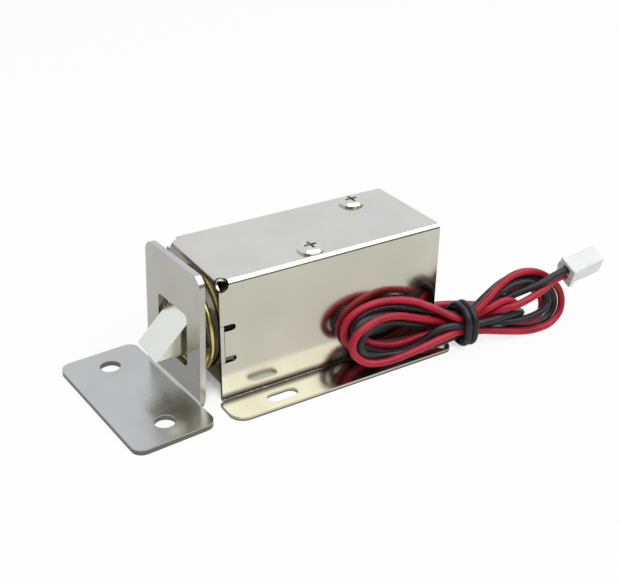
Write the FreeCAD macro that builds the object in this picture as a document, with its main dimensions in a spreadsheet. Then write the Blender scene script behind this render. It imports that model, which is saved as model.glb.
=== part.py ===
import FreeCAD, Part
import math
import os
import re
import Sketcher

# Cabinet solenoid lock with its strike and its lead, in millimetres.
# The origin is the centre of the four mounting slots, on the plane of the case's flanges.
# The bolt points to -X, +Z is up, and the lead lies behind the case on the -Y side.

Vector = FreeCAD.Vector
Placement = FreeCAD.Placement
Rotation = FreeCAD.Rotation

# The case, folded from one sheet: a top, two sides, two flanges and a front wall.
case_length = 54.0
case_sheet = 0.82
flange_reach = 7.65
flange_front_corner = 3.2
flange_rear_corner = 2.0
flange_bend_inside = 0.52
top_bend_outside = 1.24
front_setback = 0.9
front_wall_bottom = 4.5
front_seam = 0.1
corner_relief = 3.3
corner_relief_inset = 0.7
lug_bottom = 9.5
lug_top = 17.9
lug_play = 0.1
lug_slot_reach = 2.6
lug_slot_width = 1.4
slot_spacing_long = 29.2
slot_from_side = 4.3
slot_length = 6.9
slot_width = 3.1
bolt_window_play = 0.25
bolt_window_corner = 0.6
screw_hole_play = 0.2

# The two screws that hold the solenoid's yoke under the top of the case.
front_screw_from_middle = -3.4
front_screw_from_side = 3.7
rear_screw_from_middle = 16.6
rear_screw_from_side = 4.85
screw_diameter = 3.0
screw_head_diameter = 5.6
screw_head_height = 1.15
screw_head_rim = 0.4
screw_crown_diameter = 2.52
screw_shoulder_diameter = 4.37
screw_shoulder_height = 0.9
screw_length = 2.2
recess_span = 2.9
recess_slot = 0.62
recess_depth = 0.8

# The yoke, a bent strip round the coil, and the coil on its bobbin.
coil_off_floor = 3.1
yoke_front_from_wall = 18.9
yoke_length = 32.0
yoke_sheet = 1.5
yoke_inside_coil = 0.3
yoke_bottom = 4.0
yoke_bend_inside = 0.8
lead_notch_width = 3.9
lead_notch_height = 3.0
yoke_hole_play = 0.05
bobbin_wall = 0.7
coil_to_web = 0.58
bobbin_flange = 1.0
bobbin_play = 0.1
winding_diameter = 19.6
winding_below_flange = 1.0
coil_to_side = 0.28
tape_thickness = 0.3
plunger_play = 0.15
guide_wall = 0.4
guide_past_core = 4.0
core_front_from_wall = 39.1
core_neck = 5.0
core_neck_play = 0.05
rivet_head_diameter = 6.6
rivet_head = 0.6
cone_depth = 2.2
cone_tip = 2.4
cone_mouth = 4.6
cut_margin = 1.0

# The bolt with the plunger that draws it back, the pin between them and the springs.
stroke = 10.0
bolt_width = 9.5
bolt_height = 9.4
bolt_reach = 10.8
bolt_tail = 6.8
bolt_edge_round = 0.5
bolt_shoulder_width = 14.0
bolt_shoulder_length = 3.5
bolt_stop_gap = 0.05
plunger_diameter = 8.0
plunger_core_gap = 0.3
tongue_thickness = 3.0
tongue_inset = 0.7
tongue_length = 5.0
tongue_play = 0.1
pin_diameter = 2.0
pin_wall = 0.35
pin_slit = 0.5
pin_from_tail = 2.6
pin_play = 0.05
pin_sink = 0.2
return_wire = 0.7
return_front_radius = 4.45
return_rear_radius = 7.9
return_turns = 5.0
return_play = 0.05
front_wire = 1.1
front_spring_diameter = 22.0
front_spring_pitch = 1.1
front_turns = 1.4
front_spring_above_axis = 0.6
front_spring_start = 108.0

# The strike: a plate bent up from a wider foot, standing by itself in front of the case.
strike_sheet = 1.25
strike_width = 22.0
strike_height = 29.1
strike_foot_width = 36.0
strike_foot_length = 18.9
strike_foot_heel = 1.3
strike_bend_inside = 0.8
strike_lean = 2.3
strike_foot_corner = 2.4
strike_top_corner = 2.6
strike_window_width = 11.7
strike_window_height = 11.8
strike_window_below_axis = 6.7
strike_window_corner = 1.1
strike_hole = 4.4
strike_hole_spacing = 24.0
strike_hole_from_back = 9.8
strike_from_case = 3.4
strike_aside = -0.3
strike_turn = 4.0

# The lead: two wires side by side, tied in a hank, with a connector at the end.
lead_diameter = 2.4
hank_turn = -7.3
hank_aside = -15.98
hank_lobe_radius = 8.05
hank_front_lobe = 8.85
hank_front_lobe_height = 8.95
hank_rear_lobe = 47.6
hank_rear_lobe_height = 8.2
hank_waist = 29.8
hank_waist_height = 5.9
hank_waist_radius = 3.15
hank_back = 4.0
hank_face = 1.95
hank_rear_back = 2.4
hank_step = 36.0
tie_wire = 1.65
tie_pitch = 1.58
tie_play = 0.05
hank_edge = 2.2
hank_rear_edge = 1.0
hank_neck = 5.6
housing_length = 8.6
housing_width = 4.9
housing_height = 4.3
housing_edge = 0.4
housing_collar = 1.0
housing_collar_step = 0.3
cavity_width = 1.65
cavity_height = 2.1
cavity_depth = 6.8
contact_spacing = 2.0
contact_width = 1.3
contact_height = 1.5
contact_length = 5.6
contact_play = 0.2
housing_turn = 3.5
housing_pitch = -10.3
housing_roll = 114.7
latch_width = 1.8
latch_length = 2.8
latch_height = 0.6
latch_tip_height = 0.2
latch_root = 0.2
contact_wall = 0.25

# Each size above is a cell of the sheet under its own name, and the pieces are bound to the cells.
doc = FreeCAD.newDocument("SolenoidLock")
sheet = doc.addObject("Spreadsheet::Sheet", "Sizes")
sizes = {name: value for name, value in globals().items() if isinstance(value, float)}

# Sizes that follow others. The case is folded to fit the coil and its yoke, the flanges and their
# slots go out from its sides, and the strike's window and the front spring follow the bolt.
sizes["bobbin_flange_diameter"] = "=winding_diameter + 2 * winding_below_flange"
sizes["axis_height"] = "=coil_off_floor + bobbin_flange_diameter / 2"
sizes["case_height"] = "=axis_height + bobbin_flange_diameter / 2 + coil_to_web + yoke_sheet + case_sheet"
sizes["case_width"] = "=bobbin_flange_diameter + 2 * coil_to_side + 2 * case_sheet"
sizes["yoke_width"] = "=bobbin_flange_diameter - 2 * yoke_inside_coil"
sizes["guide_bore"] = "=plunger_diameter + 2 * plunger_play"
sizes["core_diameter"] = "=plunger_diameter"
sizes["tongue_height"] = "=plunger_diameter - 2 * tongue_inset"
sizes["flange_span"] = "=case_width + 2 * flange_reach"
sizes["slot_spacing_across"] = "=case_width + 2 * slot_from_side"
sizes["front_screw_aside"] = "=front_screw_from_side - case_width / 2"
sizes["rear_screw_aside"] = "=case_width / 2 - rear_screw_from_side"
sizes["strike_window_bottom"] = "=axis_height - strike_window_below_axis"
sizes["front_spring_height"] = "=axis_height + front_spring_above_axis"
for row, (alias, value) in enumerate(sizes.items(), 1):
    sheet.set("A%d" % row, alias)
    sheet.set("B%d" % row, str(value))
    sheet.setAlias("B%d" % row, alias)
doc.recompute()

ALIAS = re.compile(r"[a-z]+(?:_[a-z]+)*")
PLAIN_WORDS = {"tan", "cos", "deg"}


def bound(text):
    """Turn sizes named by their aliases into an expression that other objects can hold."""
    def with_sheet(match):
        word = match.group(0)
        return word if word in PLAIN_WORDS else "Sizes." + word
    return ALIAS.sub(with_sheet, text)


def number(text):
    """The value that an expression of aliases has now."""
    result = sheet.evalExpression(bound(text))
    return float(getattr(result, "Value", result))


# Places along X that several pieces share, as expressions of the sheet's sizes.
CASE_FRONT = "(-case_length / 2)"
CASE_REAR = "(case_length / 2)"
WALL_FACE = "(-case_length / 2 + front_setback)"
WALL_INSIDE = "(-case_length / 2 + front_setback + case_sheet)"
YOKE_FRONT = "(-case_length / 2 + front_setback + yoke_front_from_wall)"
YOKE_REAR = "(-case_length / 2 + front_setback + yoke_front_from_wall + yoke_length)"
CORE_FRONT = "(-case_length / 2 + front_setback + core_front_from_wall)"
BOLT_TIP = "(-case_length / 2 + front_setback - bolt_reach)"
BOLT_TAIL = "(-case_length / 2 + front_setback + case_sheet + bolt_tail)"
PIN_PLACE = "(-case_length / 2 + front_setback + case_sheet + bolt_tail - pin_from_tail)"
TOP_UNDERSIDE = "(case_height - case_sheet)"


def new_body(label):
    body = doc.addObject("PartDesign::Body", label)
    body.Label = label
    return body


def origin_part(body, role):
    for feature in body.Origin.OriginFeatures:
        if feature.Role == role:
            return feature
    raise ValueError(role)


def new_sketch(body, name, role, offset="0"):
    """A sketch on one of the body's own planes, moved along that plane's normal."""
    sketch = body.newObject("Sketcher::SketchObject", body.Label + "_" + name)
    sketch.AttachmentSupport = [(origin_part(body, role), "")]
    sketch.MapMode = "FlatFace"
    if offset != "0":
        sketch.setExpression("AttachmentOffset.Base.z", bound(offset))
    return sketch


def hold(sketch, kind, targets, text):
    """Add a dimension to the sketch and bind it to an expression."""
    place = sketch.addConstraint(Sketcher.Constraint(kind, *targets, number(text)))
    sketch.setExpression("Constraints[%d]" % place, bound(text))


def hold_point(sketch, geometry, end, across, up):
    hold(sketch, "DistanceX", (-1, 1, geometry, end), across)
    hold(sketch, "DistanceY", (-1, 1, geometry, end), up)


def outline(sketch, points):
    """A closed outline of straight lines, each corner held by two expressions."""
    corners = [Vector(number(across), number(up), 0) for across, up in points]
    lines = []
    for here, following in zip(corners, corners[1:] + corners[:1]):
        lines.append(sketch.addGeometry(Part.LineSegment(here, following)))
    for line, following in zip(lines, lines[1:] + lines[:1]):
        sketch.addConstraint(Sketcher.Constraint("Coincident", line, 2, following, 1))
    for line, (across, up) in zip(lines, points):
        hold_point(sketch, line, 1, across, up)
    return lines


def rectangle(sketch, left, right, low, high):
    return outline(sketch, [(left, low), (right, low), (right, high), (left, high)])


def circle(sketch, across, up, radius):
    centre = Vector(number(across), number(up), 0)
    ring = sketch.addGeometry(Part.Circle(centre, Vector(0, 0, 1), number(radius)))
    hold_point(sketch, ring, 3, across, up)
    hold(sketch, "Radius", (ring,), radius)
    return ring


def long_slot(sketch, across, up, length, width):
    """A slot with round ends that runs along the sketch's first direction."""
    half_run = "((%s) - (%s)) / 2" % (length, width)
    radius = number(width) / 2
    middle = Vector(number(across), number(up), 0)
    run = Vector(number(half_run), 0, 0)
    side = Vector(0, radius, 0)
    start = Part.Circle(middle - run, Vector(0, 0, 1), radius)
    finish = Part.Circle(middle + run, Vector(0, 0, 1), radius)
    left = sketch.addGeometry(Part.ArcOfCircle(start, math.pi / 2, 3 * math.pi / 2))
    right = sketch.addGeometry(Part.ArcOfCircle(finish, -math.pi / 2, math.pi / 2))
    below = sketch.addGeometry(Part.LineSegment(middle - run - side, middle + run - side))
    above = sketch.addGeometry(Part.LineSegment(middle + run + side, middle - run + side))
    sketch.addConstraint(Sketcher.Constraint("Tangent", left, 2, below, 1))
    sketch.addConstraint(Sketcher.Constraint("Tangent", below, 2, right, 1))
    sketch.addConstraint(Sketcher.Constraint("Tangent", right, 2, above, 1))
    sketch.addConstraint(Sketcher.Constraint("Tangent", above, 2, left, 1))
    hold_point(sketch, left, 3, "(%s) - %s" % (across, half_run), up)
    hold_point(sketch, right, 3, "(%s) + %s" % (across, half_run), up)
    hold(sketch, "Radius", (right,), "(%s) / 2" % width)


def pad(body, name, sketch, length, both_ways=False):
    feature = body.newObject("PartDesign::Pad", body.Label + "_" + name)
    feature.Profile = sketch
    feature.SideType = "Symmetric" if both_ways else "One side"
    feature.setExpression("Length", bound(length))
    doc.recompute()
    return feature


def pocket(body, name, sketch, length=None, both_ways=True, reverse=False):
    """A cut from the sketch, right through or to a depth, that must take material away."""
    before = body.Shape.Volume
    feature = body.newObject("PartDesign::Pocket", body.Label + "_" + name)
    feature.Profile = sketch
    feature.SideType = "Symmetric" if both_ways else "One side"
    feature.Reversed = reverse
    if length is None:
        feature.Type = "ThroughAll"
    else:
        feature.setExpression("Length", bound(length))
    doc.recompute()
    if not feature.Shape.Volume < before:
        raise ValueError(feature.Name + " takes nothing away")
    return feature


def edges_along(feature, direction, tests):
    """Names of the straight edges along a direction whose middles pass the tests."""
    names = []
    for index, edge in enumerate(feature.Shape.Edges):
        ends = [vertex.Point for vertex in edge.Vertexes]
        if len(ends) != 2:
            continue
        if abs(abs((ends[1] - ends[0]).dot(direction)) - edge.Length) > 0.0001:
            continue
        middle = edge.CenterOfMass
        if all(abs(abs(getattr(middle, axis)) - abs(place)) < 0.02 for axis, place in tests):
            names.append("Edge%d" % (index + 1))
    if not names:
        raise ValueError(feature.Name + " has no such edge")
    return names


def fillet(body, name, feature, names, radius):
    rounded = body.newObject("PartDesign::Fillet", body.Label + "_" + name)
    rounded.Base = (feature, names)
    rounded.setExpression("Radius", bound(radius))
    doc.recompute()
    return rounded


def revolve(body, name, sketch):
    """Turn a profile drawn beside the sketch's first direction once round it."""
    feature = body.newObject("PartDesign::Revolution", body.Label + "_" + name)
    feature.Profile = sketch
    feature.ReferenceAxis = (sketch, ["H_Axis"])
    feature.Angle = 360
    doc.recompute()
    return feature


def move(item, across=None, aside=None, up=None):
    for letter, text in (("x", across), ("y", aside), ("z", up)):
        if text is not None:
            item.setExpression("Placement.Base." + letter, bound(text))


ALONG_X = Vector(1, 0, 0)
ALONG_Y = Vector(0, 1, 0)
ALONG_Z = Vector(0, 0, 1)


def make_case():
    """The folded sheet: channel, flanges, front wall with its lugs, reliefs and holes."""
    body = new_body("case")
    outer = "case_width / 2"
    inner = "(case_width / 2 - case_sheet)"
    channel = new_sketch(body, "channel", "YZ_Plane", WALL_FACE)
    outline(channel, [
        ("-" + outer, "0"), ("-" + inner, "0"), ("-" + inner, TOP_UNDERSIDE), (inner, TOP_UNDERSIDE),
        (inner, "0"), (outer, "0"), (outer, "case_height"), ("-" + outer, "case_height"),
    ])
    pad(body, "channel_pad", channel, "case_length - front_setback")

    # The notch in the front edge of each side wall, with a relief slot at both of its ends.
    slot_end = "(%s + case_sheet + lug_slot_reach)" % WALL_FACE
    notch = new_sketch(body, "notch", "XZ_Plane")
    rectangle(notch, CASE_FRONT, "(%s + case_sheet + lug_play)" % WALL_FACE,
              "(lug_bottom - lug_play)", "(lug_top + lug_play)")
    pocket(body, "notch_cut", notch)
    for end, height in (("upper", "(lug_top + lug_play - lug_slot_width / 2)"),
                        ("lower", "(lug_bottom - lug_play + lug_slot_width / 2)")):
        relief = new_sketch(body, "relief_" + end, "XZ_Plane")
        long_slot(relief, "(%s + %s - 2 * cut_margin) / 2" % (WALL_FACE, slot_end), height,
                  "(%s - %s + 2 * cut_margin)" % (slot_end, WALL_FACE), "lug_slot_width")
        pocket(body, "relief_cut_" + end, relief)

    # The flanges, one sketch for each side, with slots for the mounting screws.
    for side, sign in (("near", "-"), ("far", "")):
        flange = new_sketch(body, "flange_" + side, "XY_Plane")
        rectangle(flange, CASE_FRONT, CASE_REAR, sign + inner, sign + "flange_span / 2")
        pad(body, "flange_pad_" + side, flange, "case_sheet")
    slots = new_sketch(body, "slots", "XY_Plane")
    for along in ("-slot_spacing_long / 2", "slot_spacing_long / 2"):
        for across in ("-slot_spacing_across / 2", "slot_spacing_across / 2"):
            long_slot(slots, along, across, "slot_length", "slot_width")
    shape = pocket(body, "slot_cut", slots)
    # Along its bend the flange ends level with the side walls' front edge.
    root = new_sketch(body, "flange_root", "XY_Plane")
    bend_end = "(case_width / 2 + flange_bend_inside * 1.5)"
    rectangle(root, CASE_FRONT + " - cut_margin", WALL_FACE, "-" + bend_end, bend_end)
    shape = pocket(body, "flange_root_cut", root)

    tip = number("flange_span / 2")
    front_corners = edges_along(shape, ALONG_Z, (("x", number(CASE_FRONT)), ("y", tip)))
    front_corners = [name for name in front_corners if shape.Shape.getElement(name).CenterOfMass.x < 0]
    shape = fillet(body, "front_corners", shape, front_corners, "flange_front_corner")
    rear_corners = edges_along(shape, ALONG_Z, (("x", number(CASE_REAR)), ("y", tip)))
    shape = fillet(body, "rear_corners", shape, rear_corners, "flange_rear_corner")

    # The bends, rounded inside and out with one sheet between.
    bends = (
        ("top_outside", outer, "case_height", "top_bend_outside"),
        ("top_inside", inner, TOP_UNDERSIDE, "(top_bend_outside - case_sheet)"),
        ("foot_inside", outer, "case_sheet", "flange_bend_inside"),
        ("foot_outside", inner, "0", "(flange_bend_inside + case_sheet)"),
    )
    for name, across, up, radius in bends:
        names = edges_along(shape, ALONG_X, (("y", number(across)), ("z", number(up))))
        shape = fillet(body, name, shape, names, radius)

    # The front wall hangs from the top and holds the sides with its two lugs.
    wall = new_sketch(body, "front_wall", "YZ_Plane", WALL_FACE)
    edge = "(case_width / 2 - case_sheet - front_seam)"
    outline(wall, [
        ("-" + edge, "front_wall_bottom"), (edge, "front_wall_bottom"), (edge, "lug_bottom"),
        (outer, "lug_bottom"), (outer, "lug_top"), (edge, "lug_top"),
        (edge, "(case_height - case_sheet / 2)"), ("-" + edge, "(case_height - case_sheet / 2)"),
        ("-" + edge, "lug_top"), ("-" + outer, "lug_top"), ("-" + outer, "lug_bottom"),
        ("-" + edge, "lug_bottom"),
    ])
    pad(body, "front_wall_pad", wall, "case_sheet")
    # A round relief at both corners where the three bends meet.
    for side, sign in (("near", "-"), ("far", "")):
        before = body.Shape.Volume
        relief = body.newObject("PartDesign::SubtractiveSphere", "case_corner_relief_" + side)
        relief.setExpression("Radius", bound("corner_relief / 2"))
        move(relief, "(%s + corner_relief_inset)" % WALL_FACE,
             sign + "(case_width / 2 - corner_relief_inset)", "(case_height - corner_relief_inset)")
        doc.recompute()
        if not body.Shape.Volume < before:
            raise ValueError("the corner relief takes nothing away")

    level = number("case_height")
    names = edges_along(relief, ALONG_Y, (("x", number(WALL_FACE)), ("y", 0.0), ("z", level)))
    fillet(body, "front_bend", relief, names, "top_bend_outside")

    window = new_sketch(body, "bolt_window", "YZ_Plane", WALL_FACE)
    half = "(bolt_width / 2 + bolt_window_play)"
    rise = "(bolt_height / 2 + bolt_window_play)"
    rectangle(window, "-" + half, half, "(axis_height - %s)" % rise, "(axis_height + %s)" % rise)
    shape = pocket(body, "bolt_window_cut", window, "(case_sheet * 3)")
    names = []
    for level in (number("axis_height - " + rise), number("axis_height + " + rise)):
        names += edges_along(shape, ALONG_X, (("y", number(half)), ("z", level)))
    shape = fillet(body, "bolt_window_round", shape, names, "bolt_window_corner")

    holes = new_sketch(body, "screw_holes", "XY_Plane", "case_height")
    for along, across in (("front_screw_from_middle", "front_screw_aside"),
                          ("rear_screw_from_middle", "rear_screw_aside")):
        circle(holes, along, across, "(screw_diameter / 2 + screw_hole_play)")
    pocket(body, "screw_hole_cut", holes, "(case_sheet * 3)")
    return body


def make_yoke():
    """A strip bent twice: the web under the case's top and a leg before and behind the coil."""
    body = new_body("solenoid_yoke")
    web_low = "(case_height - case_sheet - yoke_sheet)"
    profile = new_sketch(body, "profile", "XZ_Plane")
    outline(profile, [
        (YOKE_FRONT, "yoke_bottom"), ("(%s + yoke_sheet)" % YOKE_FRONT, "yoke_bottom"),
        ("(%s + yoke_sheet)" % YOKE_FRONT, web_low), ("(%s - yoke_sheet)" % YOKE_REAR, web_low),
        ("(%s - yoke_sheet)" % YOKE_REAR, "yoke_bottom"), (YOKE_REAR, "yoke_bottom"),
        (YOKE_REAR, TOP_UNDERSIDE), (YOKE_FRONT, TOP_UNDERSIDE),
    ])
    shape = pad(body, "strip", profile, "yoke_width", both_ways=True)
    front_in = number(YOKE_FRONT + " + yoke_sheet")
    rear_in = number(YOKE_REAR + " - yoke_sheet")
    inside = edges_along(shape, ALONG_Y, (("x", front_in), ("z", number(web_low))))
    inside += edges_along(shape, ALONG_Y, (("x", rear_in), ("z", number(web_low))))
    shape = fillet(body, "bends_inside", shape, inside, "yoke_bend_inside")
    top = number(TOP_UNDERSIDE)
    outside = edges_along(shape, ALONG_Y, (("x", number(YOKE_FRONT)), ("z", top)))
    outside += edges_along(shape, ALONG_Y, (("x", number(YOKE_REAR)), ("z", top)))
    fillet(body, "bends_outside", shape, outside, "(yoke_bend_inside + yoke_sheet)")

    plunger_hole = new_sketch(body, "guide_hole", "YZ_Plane", YOKE_FRONT)
    circle(plunger_hole, "0", "axis_height", "(guide_bore / 2 + guide_wall + yoke_hole_play)")
    pocket(body, "guide_hole_cut", plunger_hole, "(yoke_sheet * 3)")
    core_hole = new_sketch(body, "core_hole", "YZ_Plane", YOKE_REAR)
    circle(core_hole, "0", "axis_height", "(core_neck / 2 + core_neck_play)")
    pocket(body, "core_hole_cut", core_hole, "(yoke_sheet * 3)")
    notch = new_sketch(body, "lead_notch", "YZ_Plane", YOKE_REAR)
    rectangle(notch, "(-yoke_width / 2 - cut_margin)", "(-yoke_width / 2 + lead_notch_width)",
              "(yoke_bottom - cut_margin)", "(yoke_bottom + lead_notch_height)")
    pocket(body, "lead_notch_cut", notch, "(yoke_sheet * 3)")
    taps = new_sketch(body, "tapped_holes", "XY_Plane", TOP_UNDERSIDE)
    for along, across in (("front_screw_from_middle", "front_screw_aside"),
                          ("rear_screw_from_middle", "rear_screw_aside")):
        circle(taps, along, across, "(screw_diameter / 2 + yoke_hole_play)")
    pocket(body, "tapped_hole_cut", taps, "(yoke_sheet * 3)")
    return body


def turned_piece(label, points):
    """A piece turned about the solenoid's axis from half of its section."""
    body = new_body(label)
    section = new_sketch(body, "section", "XZ_Plane")
    outline(section, points)
    revolve(body, "turning", section)
    move(body, up="axis_height")
    return body


def make_coil():
    """Bobbin, winding and tape, each turned about the axis between the yoke's legs."""
    front = "(%s + yoke_sheet + bobbin_play)" % YOKE_FRONT
    rear = "(%s - yoke_sheet - bobbin_play)" % YOKE_REAR
    front_in = "(%s + yoke_sheet + bobbin_play + bobbin_flange)" % YOKE_FRONT
    rear_in = "(%s - yoke_sheet - bobbin_play - bobbin_flange)" % YOKE_REAR
    bore = "(guide_bore / 2 + guide_wall + bobbin_play)"
    drum = "(guide_bore / 2 + guide_wall + bobbin_play + bobbin_wall)"
    rim = "bobbin_flange_diameter / 2"
    turned_piece("bobbin", [
        (front, bore), (rear, bore), (rear, rim), (rear_in, rim),
        (rear_in, drum), (front_in, drum), (front_in, rim), (front, rim),
    ])
    full = "winding_diameter / 2"
    turned_piece("coil_winding", [(front_in, drum), (rear_in, drum), (rear_in, full), (front_in, full)])
    over = "(winding_diameter / 2 + tape_thickness)"
    turned_piece("coil_tape", [(front_in, full), (rear_in, full), (rear_in, over), (front_in, over)])


def make_guide_and_core():
    """The brass tube that the plunger runs in, and the fixed core riveted to the rear leg."""
    inside = "guide_bore / 2"
    outside = "(guide_bore / 2 + guide_wall)"
    finish = "(%s + guide_past_core)" % CORE_FRONT
    turned_piece("guide_tube", [
        (YOKE_FRONT, inside), (finish, inside), (finish, outside), (YOKE_FRONT, outside),
    ])
    leg = "(%s - yoke_sheet)" % YOKE_REAR
    turned_piece("fixed_core", [
        ("(%s + cone_depth)" % CORE_FRONT, "0"), ("(%s + rivet_head)" % YOKE_REAR, "0"),
        ("(%s + rivet_head)" % YOKE_REAR, "(rivet_head_diameter / 2 - rivet_head)"),
        (YOKE_REAR, "rivet_head_diameter / 2"), (YOKE_REAR, "core_neck / 2"), (leg, "core_neck / 2"),
        (leg, "core_diameter / 2"), (CORE_FRONT, "core_diameter / 2"),
        (CORE_FRONT, "cone_mouth / 2"), ("(%s + cone_depth)" % CORE_FRONT, "cone_tip / 2"),
    ])


def make_plunger():
    """The moving core: a cone at its rear end and a flat tongue for the pin in front."""
    tail = "(%s - stroke - plunger_core_gap)" % CORE_FRONT
    shoulder = "(%s + tongue_play)" % BOLT_TAIL
    front = "(%s - tongue_length)" % BOLT_TAIL
    body = turned_piece("plunger", [
        (front, "0"), ("(%s + cone_depth)" % tail, "0"), ("(%s + cone_depth)" % tail, "cone_tip / 2"),
        (tail, "cone_mouth / 2"), (tail, "plunger_diameter / 2"),
        (front, "plunger_diameter / 2"),
    ])
    before = "(%s - cut_margin)" % front
    flats = new_sketch(body, "flats", "XY_Plane")
    half = "(tongue_thickness / 2)"
    for sign in ("-", ""):
        rectangle(flats, before, shoulder, sign + half, sign + "plunger_diameter")
    pocket(body, "flats_cut", flats)
    heights = new_sketch(body, "tongue_heights", "XZ_Plane")
    for sign in ("-", ""):
        rectangle(heights, before, shoulder, sign + "(tongue_height / 2)", sign + "plunger_diameter")
    pocket(body, "tongue_height_cut", heights)
    hole = new_sketch(body, "pin_hole", "XZ_Plane")
    circle(hole, PIN_PLACE, "0", "(pin_diameter / 2 + pin_play)")
    pocket(body, "pin_hole_cut", hole)
    return body


def make_bolt():
    """The latch bolt: bevelled head, shoulders that stop on the wall, slot and cross hole."""
    body = new_body("latch_bolt")
    low = "(axis_height - bolt_height / 2)"
    high = "(axis_height + bolt_height / 2)"
    profile = new_sketch(body, "profile", "XZ_Plane")
    outline(profile, [
        (BOLT_TIP, low), (BOLT_TAIL, low), (BOLT_TAIL, high), ("(%s + bolt_height)" % BOLT_TIP, high),
    ])
    shape = pad(body, "head", profile, "bolt_width", both_ways=True)
    names = edges_along(shape, ALONG_X, (("y", number("bolt_width / 2")), ("z", number(high))))
    names += edges_along(shape, ALONG_X, (("y", number("bolt_width / 2")), ("z", number(low))))
    fillet(body, "edges", shape, names, "bolt_edge_round")
    stop = "(%s + bolt_stop_gap)" % WALL_INSIDE
    shoulder = new_sketch(body, "shoulder", "XY_Plane", low)
    for sign in ("-", ""):
        rectangle(shoulder, stop, "(%s + bolt_shoulder_length)" % stop,
                  sign + "(bolt_width / 2 - bolt_edge_round)", sign + "bolt_shoulder_width / 2")
    pad(body, "shoulder_pad", shoulder, "bolt_height")
    slot = new_sketch(body, "tongue_slot", "XY_Plane")
    half = "(tongue_thickness / 2 + tongue_play)"
    rectangle(slot, "(%s - tongue_length - tongue_play)" % BOLT_TAIL, "(%s + cut_margin)" % BOLT_TAIL,
              "-" + half, half)
    pocket(body, "tongue_slot_cut", slot)
    hole = new_sketch(body, "pin_hole", "XZ_Plane")
    circle(hole, PIN_PLACE, "axis_height", "(pin_diameter / 2 + pin_play)")
    pocket(body, "pin_hole_cut", hole)
    return body


def make_pin():
    """A slit tube of spring steel through the bolt and the plunger's tongue."""
    body = new_body("roll_pin")
    ring = new_sketch(body, "ring", "XZ_Plane")
    circle(ring, "0", "0", "pin_diameter / 2")
    circle(ring, "0", "0", "(pin_diameter / 2 - pin_wall)")
    pad(body, "tube", ring, "(bolt_width - pin_sink * 2)", both_ways=True)
    slit = new_sketch(body, "slit", "XZ_Plane")
    rectangle(slit, "0", "pin_diameter", "-pin_slit / 2", "pin_slit / 2")
    pocket(body, "slit_cut", slit)
    move(body, across=PIN_PLACE, up="axis_height")
    return body


def coil_spring(label, wire, first_radius, pitch, turns, growth, start_angle):
    """A spring wound about X from its first turn at local X = 0 towards +X."""
    body = new_body(label)
    section = new_sketch(body, "wire", "XZ_Plane")
    circle(section, "(%s) / 2" % wire, first_radius, "(%s) / 2" % wire)
    feature = body.newObject("PartDesign::AdditiveHelix", body.Label + "_winding")
    feature.Profile = section
    feature.ReferenceAxis = (section, ["H_Axis"])
    feature.Mode = "height-turns-growth"
    feature.setExpression("Height", bound("(%s) * (%s)" % (pitch, turns)))
    feature.setExpression("Turns", bound(turns))
    feature.setExpression("Growth", bound(growth))
    body.Placement.Rotation = Rotation(ALONG_X, start_angle)
    doc.recompute()
    return body


def make_springs():
    """The conical return spring behind the bolt and the yellow spring before the wall."""
    room = "(%s - %s - return_play * 2 - return_wire)" % (YOKE_FRONT, BOLT_TAIL)
    back = coil_spring("return_spring", "return_wire", "return_front_radius",
                       "%s / return_turns" % room, "return_turns",
                       "(return_rear_radius - return_front_radius) / return_turns", 0)
    move(back, across="(%s + return_play)" % BOLT_TAIL, up="axis_height")
    front = coil_spring("front_spring", "front_wire", "((front_spring_diameter - front_wire) / 2)",
                        "front_spring_pitch", "front_turns", "0", number("front_spring_start"))
    started = Rotation(ALONG_X, number("front_spring_start"))
    front.Placement.Rotation = Rotation(ALONG_Z, 180).multiply(started)
    move(front, across=WALL_FACE, up="front_spring_height")


def make_screw(label, along, across):
    """A pan-head screw through the case's top into the yoke, with a cross recess."""
    body = new_body(label)
    section = new_sketch(body, "section", "XZ_Plane")
    head = "screw_head_diameter / 2"
    shank = "(-screw_length)"
    outline(section, [
        (shank, "0"), ("screw_head_height", "0"), ("screw_head_height", "screw_crown_diameter / 2"),
        ("screw_shoulder_height", "screw_shoulder_diameter / 2"), ("screw_head_rim", head), ("0", head),
        ("0", "screw_diameter / 2"), (shank, "screw_diameter / 2"),
    ])
    revolve(body, "turning", section)
    recess = new_sketch(body, "recess", "YZ_Plane", "screw_head_height")
    long = "recess_span / 2"
    thin = "recess_slot / 2"
    outline(recess, [
        ("-" + long, "-" + thin), ("-" + thin, "-" + thin), ("-" + thin, "-" + long), (thin, "-" + long),
        (thin, "-" + thin), (long, "-" + thin), (long, thin), (thin, thin), (thin, long),
        ("-" + thin, long), ("-" + thin, thin), ("-" + long, thin),
    ])
    pocket(body, "recess_cut", recess, "recess_depth", both_ways=False)
    body.Placement.Rotation = Rotation(ALONG_Y, -90)
    move(body, along, across, "case_height")
    return body


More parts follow.
